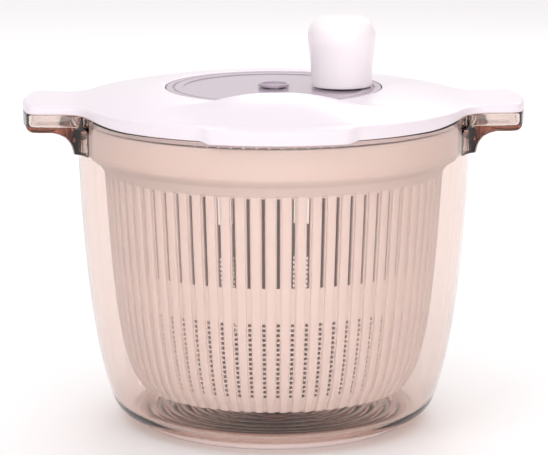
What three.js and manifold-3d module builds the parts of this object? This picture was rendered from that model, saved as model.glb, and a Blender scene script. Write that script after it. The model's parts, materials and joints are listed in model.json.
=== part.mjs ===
// Hand-cranked salad spinner, in millimetres, +Z up.
// The origin is on the turning axis, at the surface that the bowl stands on.
// The pour lip points to -Y and the two ears point to -X and +X.

import * as THREE from 'three';
import { mergeVertices } from 'three/addons/utils/BufferGeometryUtils.js';
import Module from 'manifold-3d';

const wasm = await Module();
wasm.setup();

// ---------------------------------------------------------------- driving dimensions

// overall
const rimRadius = 109.5;       // outside of the bowl at its rim
const rimHeight = 173.3;       // bowl's rim above the table
const earReach = 29.25;        // ears beyond the rim, along X
const earDepth = 60;           // ear along Y

// clearances
const gap = 0.3;               // between pieces that touch
const runGap = 0.5;            // between pieces that slide or turn on each other
const basketGap = 2;           // basket's collar to the inside of the bowl
const lugGap = 0.7;            // lugs to the inside of the basket's collar
const backlash = 0.5;          // between gear teeth, along the pitch circle

// bowl
const bowlWall = 2.5;
const footHeight = 4;          // underside of the bowl above the table
const footInset = 33.5;        // base ring inside the rim
const footWidth = 9;
const postRadius = 6;          // centre post that the basket turns on
const postTop = 27;
const bushWall = 2.4;
const earRise = 2.7;           // top of the ears above the rim
const earThickness = 10;
const earWall = 2.6;
const earCornerRadius = 5;
const earFillet = 13;          // hollow curve under the ear
const earPlanFillet = 14;      // hollow curve from the rim into the ear
const earSwell = 4;            // outward bow of the ear's end

// basket
const basketWall = 2.5;
const collarHeight = 14;
const collarDrop = 3.8;        // top of the collar below the rim
const ribCount = 72;
const ribWidth = 4.8;
const ribDepth = 3;
const ribSeat = 0.5;           // rings stand proud of the ribs that end on them
const keyCount = 4;
const keyDepth = 3;

// lid
const lidWall = 2.2;
const bandHeight = 6.9;        // lid's outer band
const hoodRise = 7.7;          // crest of the hood above the lid
const hoodHalfWidth = 38;
const hoodFlatness = 0.45;     // 1 bends the crest round the lid, 0 runs it straight along X
const lipProud = 3;
const lipHalfAngle = 22;       // degrees
const lidEarThickness = 4.4;

// crank disc and knob
const discMargin = 4.6;        // disc beyond the ring gear that it carries
const discThickness = 3;
const knobOffset = 37.7;
const knobBaseRadius = 17;
const knobRadius = 18.8;
const knobHeight = 38.5;
const knobTopFillet = 10;

// gear train: turning ring, three planets on fixed axles, sun
const gearModule = 1.75;
const sunTeeth = 12;
const planetTeeth = 18;
const planetCount = 3;
const gearWidth = 5.4;
const ringBody = 2.8;          // ring gear outside its teeth
const ringScrewInset = 4.7;    // ring screws beyond the ring's body
const ringScrewLand = 3.5;     // flange beyond the ring screws
const shaftRadius = 5;
const screwRadius = 1.6;
const screwHeadHeight = 1.5;

// round pieces are revolved in this many steps
const largeSteps = 40;
const mediumSteps = 36;
const basketSteps = ribCount / 2;
const smallSteps = 16;

// ---------------------------------------------------------------- derived levels and radii

const ringTeeth = sunTeeth + 2 * planetTeeth;
const planetOffset = gearModule * (sunTeeth + planetTeeth) / 2;
const pressureAngle = 20 * Math.PI / 180;
const addendum = 0.9 * gearModule;
const dedendum = 1.15 * gearModule;
const ringPitchRadius = gearModule * ringTeeth / 2;
const ringOuter = ringPitchRadius + dedendum + ringBody;
const ringScrewOffset = ringOuter + ringScrewInset;
const flangeRadius = ringScrewOffset + ringScrewLand;
const discRadius = flangeRadius + discMargin;

const handleSpan = 2 * (rimRadius + earReach);
const footRadius = rimRadius - footInset;

const earTop = rimHeight + earRise;
const earUnderside = earTop - earThickness;

const bowlFloor = footHeight + bowlWall;
const collarRadius = rimRadius - bowlWall - basketGap;
const collarTop = rimHeight - collarDrop;
const collarBottom = collarTop - collarHeight;
const ribTop = collarBottom - 13;
const basketTopRadius = collarRadius - 10.7;
const basketFloorRadius = collarRadius - 31;
const basketFloor = footHeight + 16;
const panTop = basketFloor + 6;
const middleBandTop = basketFloor + (ribTop - basketFloor) * 0.59;
const middleBandBottom = basketFloor + (ribTop - basketFloor) * 0.43;

const lidBottom = rimHeight + gap;
const lidEdge = lidBottom + bandHeight;
const wellUnderside = rimHeight - 2.5;
const wellFloor = wellUnderside + lidWall;
const gearBottom = wellFloor + 1.2;
const gearTop = gearBottom + gearWidth;
const headBottom = gearTop + gap;
const headTop = headBottom + screwHeadHeight;
const flangeBottom = headTop + gap;
const flangeThickness = 2;
const discBottom = flangeBottom + flangeThickness + gap;
const discTop = discBottom + discThickness;
const wellRadius = discRadius + runGap;
const lidCrown = discTop + 0.2;

const shaftTop = discBottom + 1.2;
const hubTop = wellUnderside - 2.8;
const hubHeight = 7.8;
const hubBottom = hubTop - hubHeight;
const plateTop = hubBottom + 3.6;
const knobBottom = discTop + runGap;

// ---------------------------------------------------------------- helpers

const point = (x, y) => new THREE.Vector2(x, y);
const radians = (degrees) => degrees * Math.PI / 180;

// Closed three.js geometry to a solid that can be cut and joined.
function solidOf(geometry) {
  const bare = geometry.clone();
  bare.deleteAttribute('normal');
  bare.deleteAttribute('uv');
  const merged = mergeVertices(bare, 1e-4);
  const index = merged.index.array;
  const faces = [];
  for (let i = 0; i < index.length; i += 3) {
    const [a, b, c] = [index[i], index[i + 1], index[i + 2]];
    if (a !== b && b !== c && c !== a) faces.push(a, b, c);
  }
  return new wasm.Manifold(new wasm.Mesh({
    numProp: 3,
    vertProperties: new Float32Array(merged.attributes.position.array),
    triVerts: new Uint32Array(faces),
  }));
}

// Closed outline in (radius, height), turned about Z.
function revolve(outline, steps = smallSteps, reshape = null) {
  const points = THREE.ShapeUtils.area(outline) > 0 ? [...outline] : [...outline].reverse();
  points.push(points[0].clone());
  const geometry = new THREE.LatheGeometry(points, steps);
  geometry.rotateX(Math.PI / 2);
  if (reshape) reshape(geometry.attributes.position);
  return solidOf(geometry);
}

// Flat outline in (x, y), raised from one height to another.
function plate(shape, bottom, top, curveSegments = 6) {
  const geometry = new THREE.ExtrudeGeometry(shape, {
    depth: top - bottom, bevelEnabled: false, curveSegments, steps: 1,
  });
  geometry.translate(0, 0, bottom);
  return solidOf(geometry);
}

function ring(inner, outer, bottom, top, steps = smallSteps) {
  return revolve([point(inner, bottom), point(outer, bottom), point(outer, top), point(inner, top)], steps);
}

function rod(radius, bottom, top, steps = smallSteps) {
  return ring(0, radius, bottom, top, steps);
}

function sector(inner, outer, middleAngle, halfAngle) {
  const start = radians(middleAngle - halfAngle);
  const end = radians(middleAngle + halfAngle);
  const shape = new THREE.Shape();
  shape.absarc(0, 0, outer, start, end, false);
  shape.absarc(0, 0, inner, end, start, true);
  shape.closePath();
  return shape;
}

const turned = (solid, degrees) => solid.rotate([0, 0, degrees]);
const moved = (solid, x, y = 0, z = 0) => solid.translate([x, y, z]);
const joined = (solids) => solids.reduce((whole, piece) => whole.add(piece));

// Points of a curve at even steps of its parameter.
const along = (curve, steps) => Array.from({ length: steps + 1 }, (_, i) => curve.getPoint(i / steps));

// ---------------------------------------------------------------- bowl

// Side of the bowl, inset from its outside.
function bowlSide(inset) {
  const radius = rimRadius - inset;
  return new THREE.CubicBezierCurve(
    point(radius - 18.4, footHeight + 10.6),
    point(radius - 7.9, rimHeight * 0.256),
    point(radius - 2.1, rimHeight * 0.555),
    point(radius, rimHeight),
  );
}

function bowlCorner(inset, floor) {
  const side = bowlSide(inset).getPoint(0);
  return new THREE.QuadraticBezierCurve(
    point(rimRadius - 31 - inset, floor),
    point(side.x - 2.6, floor + 1.2),
    side,
  );
}

// Plan of one ear, from inside the bowl's wall to its bowed end.
function earPlan(inset) {
  const end = handleSpan / 2 - inset;
  const half = earDepth / 2 - inset;
  const corner = earCornerRadius + 3;
  const rootHalf = half + earPlanFillet;
  const rootStart = Math.sqrt(rimRadius ** 2 - rootHalf ** 2);
  const neck = rootStart + earPlanFillet * 1.2;
  const bend = rootStart + earPlanFillet * 0.43;
  const shape = new THREE.Shape();
  shape.moveTo(rootStart - 5, -rootHalf);
  shape.lineTo(rootStart, -rootHalf);
  shape.quadraticCurveTo(bend, -half, neck, -half);
  shape.lineTo(end - earSwell - corner, -half);
  shape.quadraticCurveTo(end - earSwell, -half, end - earSwell + 1.4, -half + corner);
  shape.quadraticCurveTo(end + earSwell - 1.4, 0, end - earSwell + 1.4, half - corner);
  shape.quadraticCurveTo(end - earSwell, half, end - earSwell - corner, half);
  shape.lineTo(neck, half);
  shape.quadraticCurveTo(bend, half, rootStart, rootHalf);
  shape.lineTo(rootStart - 5, rootHalf);
  shape.closePath();
  return shape;
}

// Side view of one ear (x, z), pulled along Y.
function earSide() {
  const end = handleSpan / 2 + 1;
  const wall = rimRadius - 1.5;
  const shape = new THREE.Shape();
  shape.moveTo(wall - 12, earUnderside - earFillet);
  shape.lineTo(wall, earUnderside - earFillet);
  shape.quadraticCurveTo(wall + 0.8, earUnderside, wall + earFillet, earUnderside);
  shape.lineTo(end - earCornerRadius, earUnderside);
  shape.quadraticCurveTo(end, earUnderside, end, earUnderside + earCornerRadius);
  shape.lineTo(end, earTop);
  shape.lineTo(wall - 12, earTop);
  shape.closePath();
  const geometry = new THREE.ExtrudeGeometry(shape, {
    depth: earDepth + 40, bevelEnabled: false, curveSegments: 5, steps: 1,
  });
  geometry.rotateX(Math.PI / 2);
  geometry.translate(0, earDepth / 2 + 20, 0);
  return solidOf(geometry);
}

function bowlEar() {
  const body = plate(earPlan(0), earUnderside - earFillet - 1, earTop, 5).intersect(earSide());
  const pocket = plate(earPlan(earWall), earUnderside + earWall, earTop + 1, 5);
  const wallKept = rod(rimRadius, earUnderside - 20, earTop + 2, largeSteps);
  return body.subtract(pocket.subtract(wallKept));
}

function makeOuterBowl() {
  const side = along(bowlSide(0), 6);
  const corner = along(bowlCorner(0, footHeight), 3);
  const shell = revolve([point(0, footHeight), ...corner, ...side.slice(1), point(0, rimHeight)], largeSteps);
  const rightEar = bowlEar();
  const leftEar = turned(rightEar, 180);
  const innerSide = along(bowlSide(bowlWall), 6);
  const innerCorner = along(bowlCorner(bowlWall, bowlFloor), 3);
  const cavity = revolve([
    point(postRadius + 5, bowlFloor),
    ...innerCorner,
    ...innerSide.slice(1),
    point(rimRadius - bowlWall, earTop + 1),
    point(0, earTop + 1),
    point(0, postTop),
    point(postRadius - 2, postTop),
    point(postRadius, postTop - 2),
    point(postRadius, bowlFloor + 6),
  ], largeSteps);
  const lidSeat = ring(rimRadius - 20, rimRadius + gap, rimHeight, earTop + 1, largeSteps);
  return joined([shell, rightEar, leftEar]).subtract(cavity).subtract(lidSeat);
}

function makeBaseRing() {
  const inner = footRadius - footWidth;
  return revolve([
    point(inner, 0),
    point(footRadius - 1, 0),
    point(footRadius, 1),
    point(footRadius, footHeight - gap),
    point(inner, footHeight - gap),
  ], largeSteps);
}

function makePivotBush() {
  const bore = postRadius + runGap;
  const outer = bore + bushWall;
  const top = postTop + runGap + bushWall;
  return revolve([
    point(bore, basketFloor - 2),
    point(outer, basketFloor - 2),
    point(outer, top - 1.5),
    point(outer - 1.5, top),
    point(0, top),
    point(0, postTop + runGap),
    point(bore, postTop + runGap),
  ]);
}

// ---------------------------------------------------------------- basket

// Outside of the ribs.
function ribSide() {
  return new THREE.CubicBezierCurve(
    point(basketFloorRadius + 1.6, basketFloor + 2.6),
    point(basketFloorRadius + 14.4, basketFloor + 15.3),
    point(basketTopRadius - 3.5, basketFloor + 71.6),
    point(basketTopRadius, ribTop + 3.4),
  );
}

// Radius of the ribs' outside at a height.
function ribRadiusAt(height) {
  const curve = ribSide();
  let low = 0;
  let high = 1;
  for (let i = 0; i < 30; i += 1) {
    const middle = (low + high) / 2;
    if (curve.getPoint(middle).y < height) low = middle;
    else high = middle;
  }
  return curve.getPoint(low).x;
}

function basketCollar() {
  return revolve([
    point(basketTopRadius - ribDepth - ribSeat, ribTop),
    point(basketTopRadius + ribSeat, ribTop),
    point(collarRadius - 4.7, collarBottom - 7.2),
    point(collarRadius, collarBottom - 2.5),
    point(collarRadius, collarTop),
    point(collarRadius - basketWall, collarTop),
    point(collarRadius - basketWall, collarBottom - 1.5),
  ], basketSteps);
}

function middleBand() {
  const low = ribRadiusAt(middleBandBottom);
  const high = ribRadiusAt(middleBandTop);
  return revolve([
    point(low - ribDepth - ribSeat, middleBandBottom),
    point(low + ribSeat, middleBandBottom),
    point(high + ribSeat, middleBandTop),
    point(high - ribDepth - ribSeat, middleBandTop),
  ], basketSteps);
}

// Floor with its turned-up edge, and the socket that drops over the pivot bush.
function basketPan() {
  const bore = postRadius + runGap + bushWall + gap;
  const roof = postTop + runGap + bushWall + gap;
  const edge = ribRadiusAt(panTop);
  return revolve([
    point(bore, basketFloor - 1.5),
    point(bore + 2.5, basketFloor - 1.5),
    point(bore + 3.5, basketFloor),
    point(basketFloorRadius - 5, basketFloor),
    point(edge + ribSeat, panTop),
    point(edge - ribDepth - ribSeat, panTop),
    point(basketFloorRadius - 7, basketFloor + basketWall),
    point(bore + 4, basketFloor + basketWall),
    point(bore + 1, roof + basketWall),
    point(0, roof + basketWall),
    point(0, roof),
    point(bore, roof),
  ], basketSteps);
}

// One upright between two rings of the basket.
function basketRib(bottom, top, pieces) {
  const levels = Array.from({ length: pieces + 1 }, (_, i) => bottom + (top - bottom) * (i / pieces) ** 1.5);
  const outside = levels.map((height) => point(ribRadiusAt(height), height));
  const inside = levels.map((height) => point(ribRadiusAt(height) - ribDepth, height));
  const shape = new THREE.Shape([...outside, ...inside.reverse()]);
  const geometry = new THREE.ExtrudeGeometry(shape, { depth: ribWidth, bevelEnabled: false, steps: 1 });
  geometry.translate(0, 0, -ribWidth / 2);
  geometry.rotateX(Math.PI / 2);
  return solidOf(geometry);
}

function basketKey(angle, side) {
  const shape = sector(collarRadius - basketWall - keyDepth, collarRadius - basketWall + 1, angle + side * 9, 1.5);
  return plate(shape, collarBottom + 1, collarTop - 2, 2);
}

function drainSlots() {
  const slots = [];
  const rows = [{ radius: 27, count: 9 }, { radius: 47, count: 18 }];
  for (const row of rows) {
    const slot = moved(
      solidOf(new THREE.BoxGeometry(14, 3, basketWall + 4)),
      row.radius, 0, basketFloor + basketWall / 2,
    );
    for (let i = 0; i < row.count; i += 1) slots.push(turned(slot, 360 * i / row.count));
  }
  return joined(slots);
}

function makeBasket() {
  const upperRib = basketRib(middleBandTop, ribTop, 1);
  const lowerRib = basketRib(panTop, middleBandBottom, 3);
  const ribs = [];
  for (let i = 0; i < ribCount; i += 1) {
    const angle = 360 * (i + 0.5) / ribCount;
    ribs.push(turned(upperRib, angle), turned(lowerRib, angle));
  }
  const keys = [];
  for (let i = 0; i < keyCount; i += 1) {
    const angle = 360 * (i + 0.5) / keyCount;
    keys.push(basketKey(angle, -1), basketKey(angle, 1));
  }
  const pan = basketPan().subtract(drainSlots());
  return joined([basketCollar(), middleBand(), pan, joined(ribs), ...keys]);
}

// ---------------------------------------------------------------- lid

// Raises the hood over the front of the lid; top and underside rise together.
function raiseHood(position) {
  const crest = wellRadius + lidWall + 9;
  for (let i = 0; i < position.count; i += 1) {
    const x = position.getX(i);
    const y = position.getY(i);
    const radius = Math.hypot(x, y);
    const inPlace = y < 0 && radius > wellRadius + lidWall + 0.1 && position.getZ(i) > lidEdge - lidWall - 1;
    if (!inPlace) continue;
    const reach = Math.hypot(x * hoodFlatness, y);
    const rise = THREE.MathUtils.smoothstep(reach, wellRadius + lidWall - 2, crest);
    const fall = 1 - Math.max(0, (reach - crest) / (rimRadius * reach / radius - crest)) ** 2;
    const across = Math.exp(-(Math.abs(x / hoodHalfWidth) ** 2.8));
    position.setZ(i, position.getZ(i) + hoodRise * rise * fall * across);
  }
}

function lidTop(drop) {
  const inner = wellRadius + lidWall;
  const span = rimRadius - inner;
  const shares = [0.02, 0.1, 0.2, 0.36, 0.55, 0.75, 0.93];
  return shares.map((share) => {
    const height = lidEdge + (lidCrown - lidEdge) * (1 - share ** 1.6);
    return point(inner + span * share, height - drop);
  });
}

function lidEar() {
  const end = rod(rimRadius - 2, earTop - 20, earTop + 20, largeSteps);
  const body = plate(earPlan(-0.4), earTop + gap, earTop + gap + lidEarThickness, 5);
  const hollow = plate(earPlan(lidWall), earTop - 1, earTop + gap + lidEarThickness - lidWall, 5);
  return body.subtract(hollow).subtract(end);
}

function frontLip() {
  const inner = rimRadius + gap + 0.1;
  const outer = rimRadius + lipProud;
  const upper = plate(sector(rimRadius - 2, outer, -90, lipHalfAngle), lidBottom + 0.4, lidEdge - 0.9, 9);
  const lower = plate(sector(inner, outer, -90, lipHalfAngle), lidBottom - 1.1, lidBottom + 1, 9);
  return upper.add(lower);
}

function makeLidShell() {
  const skirtOuter = rimRadius - bowlWall - 1;
  const skirtInner = skirtOuter - lidWall;
  const skirtBottom = collarTop + 1;
  const wellOuter = wellRadius + lidWall;
  const shell = revolve([
    point(skirtInner, skirtBottom),
    point(skirtOuter, skirtBottom),
    point(skirtOuter, lidBottom),
    point(rimRadius, lidBottom),
    point(rimRadius, lidEdge - 1.6),
    point(rimRadius - 1.4, lidEdge - 0.1),
    ...lidTop(0).reverse(),
    point(wellRadius, lidCrown),
    point(wellRadius, wellFloor),
    point(shaftRadius + 2.2, wellFloor),
    point(shaftRadius + 2.2, wellUnderside),
    point(wellOuter, wellUnderside),
    ...lidTop(lidWall + 0.3),
    point(skirtInner, lidEdge - lidWall - 0.4),
  ], largeSteps, raiseHood);
  const bosses = [];
  const holes = [];
  for (let i = 0; i < planetCount; i += 1) {
    const angle = 360 * i / planetCount;
    bosses.push(turned(moved(rod(screwRadius + 2.6, wellUnderside - 4.5, wellUnderside + 1), planetOffset), angle));
    holes.push(turned(moved(rod(screwRadius + gap, wellUnderside - 6, wellFloor + 1), planetOffset), angle));
  }
  return joined([shell, lidEar(), turned(lidEar(), 180), frontLip(), ...bosses]).subtract(joined(holes));
}

// ---------------------------------------------------------------- gear train

const involute = (angle) => Math.tan(angle) - angle;

// Half the angle that a tooth fills at a radius.
function toothHalfAngle(teeth, radius, slack) {
  const pitchRadius = gearModule * teeth / 2;
  const baseRadius = pitchRadius * Math.cos(pressureAngle);
  const flank = radius > baseRadius ? involute(Math.acos(baseRadius / radius)) : 0;
  return Math.PI / (2 * teeth) - slack / (2 * pitchRadius) + involute(pressureAngle) - flank;
}

// Closed outline of a toothed wheel with a tooth (or a space) on +X.
function toothOutline(teeth, root, tip, slack, spaceFirst) {
  const points = [];
  for (let i = 0; i < teeth; i += 1) {
    const middle = 2 * Math.PI * (i + (spaceFirst ? 0.5 : 0)) / teeth;
    const atRoot = toothHalfAngle(teeth, root, slack);
    const atTip = toothHalfAngle(teeth, tip, slack);
    const corners = [[root, -atRoot], [tip, -atTip], [tip, atTip], [root, atRoot]];
    for (const [radius, angle] of corners) {
      points.push(point(radius * Math.cos(middle + angle), radius * Math.sin(middle + angle)));
    }
  }
  return points;
}

function gearWheel(teeth, spaceFirst) {
  const pitchRadius = gearModule * teeth / 2;
  const outline = toothOutline(teeth, pitchRadius - dedendum, pitchRadius + addendum, backlash / 2, spaceFirst);
  return plate(new THREE.Shape(outline), gearBottom, gearTop);
}

const ringScrewHead = 3;

// Spaces of the ring are the teeth of a wheel that is slightly too big for it.
function makeRingGear() {
  const spaces = toothOutline(
    ringTeeth, ringPitchRadius - addendum, ringPitchRadius + dedendum, -backlash / 2, true,
  );
  const circle = new THREE.Shape();
  circle.absarc(0, 0, ringOuter, 0, 2 * Math.PI, false);
  circle.holes.push(new THREE.Path(spaces));
  const toothed = plate(circle, gearBottom, gearTop, mediumSteps / 2);
  const neckInner = ringPitchRadius + dedendum + 0.8;
  const upper = revolve([
    point(neckInner, gearTop),
    point(ringOuter - 0.5, gearTop),
    point(ringOuter - 0.5, flangeBottom),
    point(flangeRadius, flangeBottom),
    point(flangeRadius, flangeBottom + flangeThickness),
    point(neckInner, flangeBottom + flangeThickness),
  ], mediumSteps);
  const hole = moved(rod(screwRadius + gap, flangeBottom - 1, discBottom), ringScrewOffset);
  const holes = [60, 180, 300].map((angle) => turned(hole, angle));
  return toothed.add(upper).subtract(joined(holes));
}

function makePlanetGear() {
  const bore = rod(screwRadius + 1.1 + runGap, gearBottom - 1, gearTop + 1, 16);
  return gearWheel(planetTeeth, true).subtract(bore);
}

function makePlanetScrew() {
  return revolve([
    point(0, wellUnderside - 3.5),
    point(screwRadius, wellUnderside - 3.5),
    point(screwRadius, wellFloor + gap),
    point(screwRadius + 1.1, wellFloor + gap),
    point(screwRadius + 1.1, headBottom),
    point(screwRadius + 2.4, headBottom),
    point(screwRadius + 2, headTop),
    point(0, headTop),
  ], 16);
}

// Screw with its head below and its thread pointing up.
function screwUp(headRadius, headLow, headHigh, threadRadius, threadTop) {
  return revolve([
    point(0, headLow),
    point(headRadius - 0.4, headLow),
    point(headRadius, headLow + 0.4),
    point(headRadius, headHigh),
    point(threadRadius, headHigh),
    point(threadRadius, threadTop),
    point(0, threadTop),
  ], 16);
}

const makeRingScrew = () => screwUp(ringScrewHead, headBottom, headTop, screwRadius - 0.2, discBottom + 1.9);

// Shaft outline with two flats, so that the drive plate can't slip on it.
function flattedShape(radius, flat) {
  const angle = Math.acos(flat / radius);
  const shape = new THREE.Shape();
  shape.absarc(0, 0, radius, angle, Math.PI - angle, false);
  shape.absarc(0, 0, radius, Math.PI + angle, 2 * Math.PI - angle, false);
  shape.closePath();
  return shape;
}

const shaftFlat = shaftRadius * 0.76;

function makeSunGear() {
  const upper = rod(shaftRadius - 0.8, gearTop - 1, shaftTop);
  const lower = rod(shaftRadius, hubTop, gearBottom + 1);
  const flatted = plate(flattedShape(shaftRadius, shaftFlat), hubBottom + gap, hubTop + 1);
  const topBore = rod(screwRadius + gap, gearBottom, shaftTop + 1, 16);
  const lowBore = rod(screwRadius + gap, hubBottom - 1, hubTop - 1, 16);
  return joined([gearWheel(sunTeeth, false), upper, lower, flatted]).subtract(topBore).subtract(lowBore);
}

function makeShaftBush() {
  const bore = shaftRadius + gap;
  return revolve([
    point(bore, wellUnderside - 1.8),
    point(shaftRadius + 1.9, wellUnderside - 1.8),
    point(shaftRadius + 1.9, wellFloor + gap),
    point(shaftRadius + 3.5, wellFloor + gap),
    point(shaftRadius + 3.5, gearBottom - gap),
    point(bore, gearBottom - gap),
  ]);
}

// ---------------------------------------------------------------- drive plate

const lugOuter = collarRadius - basketWall - lugGap;
const plateRim = collarRadius - basketWall - keyDepth - lugGap;
const plateRimWidth = 6;

function makeDrivePlate() {
  const rim = ring(plateRim - plateRimWidth, plateRim, hubBottom, plateTop, mediumSteps);
  const hub = rod(shaftRadius + 4.5, hubBottom, hubTop);
  const spokeLength = plateRim - plateRimWidth / 2;
  const spoke = moved(
    solidOf(new THREE.BoxGeometry(spokeLength, 9, plateTop - hubBottom - 0.6)),
    spokeLength / 2, 0, (hubBottom + plateTop) / 2,
  );
  const pieces = [rim, hub];
  for (let i = 0; i < keyCount; i += 1) {
    const angle = 360 * (i + 0.5) / keyCount;
    pieces.push(turned(spoke, angle));
    pieces.push(plate(sector(plateRim - 1, lugOuter, angle, 4.5), hubBottom, plateTop, 3));
  }
  const bore = plate(flattedShape(shaftRadius + gap, shaftFlat + gap), hubBottom - 1, hubTop + 1);
  return joined(pieces).subtract(bore);
}

const washerTop = hubBottom - gap;
const washerBottom = washerTop - 1.2;

function makeDriveWasher() {
  return ring(screwRadius + gap, shaftRadius + 2, washerBottom, washerTop);
}

function makeDriveScrew() {
  const headHigh = washerBottom - gap;
  return screwUp(3.8, headHigh - 2, headHigh, screwRadius - 0.2, hubTop - 2);
}

// ---------------------------------------------------------------- crank disc and knob

const centreHeadRadius = 6.2;

function makeCrankDisc() {
  const grooveIn = discRadius - 4.7;
  const grooveOut = discRadius - 3.5;
  const blank = revolve([
    point(shaftRadius - 0.3, discBottom),
    point(discRadius, discBottom),
    point(discRadius, discTop - 0.6),
    point(discRadius - 0.6, discTop),
    point(grooveOut, discTop),
    point(grooveOut, discTop - 0.8),
    point(grooveIn, discTop - 0.8),
    point(grooveIn, discTop),
    point(centreHeadRadius + runGap, discTop),
    point(centreHeadRadius + runGap, shaftTop + gap),
    point(shaftRadius - 0.3, shaftTop + gap),
  ], mediumSteps);
  const ringHole = moved(rod(screwRadius + 0.1, discBottom - 1, discBottom + 2.2, 12), ringScrewOffset);
  const cuts = [60, 180, 300].map((angle) => turned(ringHole, angle));
  cuts.push(moved(rod(screwRadius + gap, discBottom - 1, discTop + 1, 12), knobOffset));
  return blank.subtract(joined(cuts));
}

function makeCentreScrew() {
  const headLow = shaftTop + 2 * gap;
  return revolve([
    point(0, gearBottom + 1),
    point(screwRadius - 0.2, gearBottom + 1),
    point(screwRadius - 0.2, headLow),
    point(centreHeadRadius, headLow),
    point(centreHeadRadius, discTop - gap),
    point(centreHeadRadius - 0.5, discTop),
    point(0, discTop),
  ]);
}

function makeCentreCap() {
  const bottom = discTop + gap;
  return revolve([
    point(0, bottom),
    point(centreHeadRadius + 2.4, bottom),
    point(centreHeadRadius + 2.4, bottom + 0.8),
    point(centreHeadRadius + 1.6, bottom + 1.4),
    point(0, bottom + 1.6),
  ], 24);
}

const spindleRadius = 5.6;
const spindleHead = spindleRadius + 0.9;
const spindleTop = knobBottom + knobHeight * 0.56;

function makeKnobSpindle() {
  const flange = spindleRadius + 3.4;
  const bottom = discTop + gap;
  return revolve([
    point(screwRadius + gap, bottom),
    point(flange, bottom),
    point(flange, bottom + 1.6),
    point(spindleRadius, bottom + 1.6),
    point(spindleRadius, spindleTop - 4),
    point(spindleHead, spindleTop - 3),
    point(spindleHead, spindleTop - 1.6),
    point(spindleRadius - 0.6, spindleTop),
    point(0, spindleTop),
    point(0, bottom + 14),
    point(screwRadius + gap, bottom + 14),
  ]);
}

const makeSpindleScrew = () => screwUp(
  3.2, headTop + 2 * gap, discBottom - gap, screwRadius - 0.2, discTop + gap + 12,
);

// Side of the knob: a hollow flare under a rounded crown.
function knobSide() {
  const widest = knobBottom + knobHeight * 0.62;
  const flare = new THREE.QuadraticBezierCurve(
    point(knobBaseRadius, knobBottom),
    point(knobBaseRadius - 0.1, knobBottom + knobHeight * 0.3),
    point(knobRadius, widest),
  );
  const top = knobBottom + knobHeight;
  const crown = new THREE.CubicBezierCurve(
    point(knobRadius, widest),
    point(knobRadius + 0.4, top - knobTopFillet * 0.25),
    point(knobRadius - knobTopFillet * 0.45, top),
    point(knobRadius - knobTopFillet, top),
  );
  return [...along(flare, 3), ...along(crown, 5).slice(1)];
}

function makeKnob() {
  const bore = spindleRadius + runGap;
  const groove = spindleHead + runGap;
  const flangeRoom = discTop + gap + 1.6 + runGap;
  const blank = revolve([point(0, knobBottom), ...knobSide(), point(0, knobBottom + knobHeight)], 24);
  const cavity = revolve([
    point(0, knobBottom - 1),
    point(spindleRadius + 3.4 + runGap, knobBottom - 1),
    point(spindleRadius + 3.4 + runGap, flangeRoom),
    point(bore, flangeRoom),
    point(bore, spindleTop - 4.6),
    point(groove, spindleTop - 3.6),
    point(groove, spindleTop + 1),
    point(0, spindleTop + 1),
  ]);
  return blank.subtract(cavity);
}

// ---------------------------------------------------------------- assembly

const finishes = {
  clear: { color: 0xd8c8c4, roughness: 0.08, metalness: 0, transparent: true, opacity: 0.35 },
  smoky: { color: 0xc9bfcb, roughness: 0.1, metalness: 0, transparent: true, opacity: 0.5 },
  white: { color: 0xf6eff3, roughness: 0.3, metalness: 0 },
  shell: { color: 0xf3e4e0, roughness: 0.35, metalness: 0 },
  grip: { color: 0xc8b8b8, roughness: 0.7, metalness: 0 },
  acetal: { color: 0xe9e6dc, roughness: 0.4, metalness: 0 },
  steel: { color: 0x9c9ca0, roughness: 0.35, metalness: 1 },
};

const group = new THREE.Group();

function place(name, solid, finish) {
  const mesh = solid.getMesh();
  const geometry = new THREE.BufferGeometry();
  geometry.setAttribute('position', new THREE.BufferAttribute(mesh.vertProperties, 3));
  geometry.setIndex(new THREE.BufferAttribute(mesh.triVerts, 1));
  geometry.computeVertexNormals();
  const part = new THREE.Mesh(geometry, new THREE.MeshStandardMaterial(finishes[finish]));
  part.name = name;
  group.add(part);
  return part;
}

place('outer_bowl', makeOuterBowl(), 'clear');
place('base_ring', makeBaseRing(), 'grip');
place('pivot_bush', makePivotBush(), 'acetal');
place('basket', makeBasket(), 'shell');
place('lid_shell', makeLidShell(), 'white');
place('shaft_bush', makeShaftBush(), 'acetal');
place('sun_gear', makeSunGear(), 'acetal');

for (let i = 0; i < planetCount; i += 1) {
  const angle = radians(360 * i / planetCount);
  for (const [name, make, finish] of [
    ['planet_gear', makePlanetGear, 'acetal'],
    ['planet_screw', makePlanetScrew, 'steel'],
  ]) {
    const part = place(`${name}_${i + 1}`, make(), finish);
    part.position.set(planetOffset * Math.cos(angle), planetOffset * Math.sin(angle), 0);
    part.rotation.z = angle;
  }
}

place('ring_gear', makeRingGear(), 'acetal');
[60, 180, 300].forEach((degrees, i) => {
  const screw = place(`ring_screw_${i + 1}`, makeRingScrew(), 'steel');
  const angle = radians(degrees);
  screw.position.set(ringScrewOffset * Math.cos(angle), ringScrewOffset * Math.sin(angle), 0);
});

place('drive_plate', makeDrivePlate(), 'white');
place('drive_washer', makeDriveWasher(), 'steel');
place('drive_screw', makeDriveScrew(), 'steel');
place('crank_disc', makeCrankDisc(), 'smoky');
place('centre_screw', makeCentreScrew(), 'steel');
place('centre_cap', makeCentreCap(), 'smoky');
for (const [name, make, finish] of [
  ['knob_spindle', makeKnobSpindle, 'acetal'],
  ['spindle_screw', makeSpindleScrew, 'steel'],
  ['knob', makeKnob, 'white'],
]) {
  place(name, make(), finish).position.x = knobOffset;
}

export default group;
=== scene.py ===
"""Salad spinner: the fine surfaces, materials, light and camera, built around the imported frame.

Shapes are worked out in millimetres, on the frame's axes, and mesh_object turns them into metres.
"""

import json
from math import radians

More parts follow.
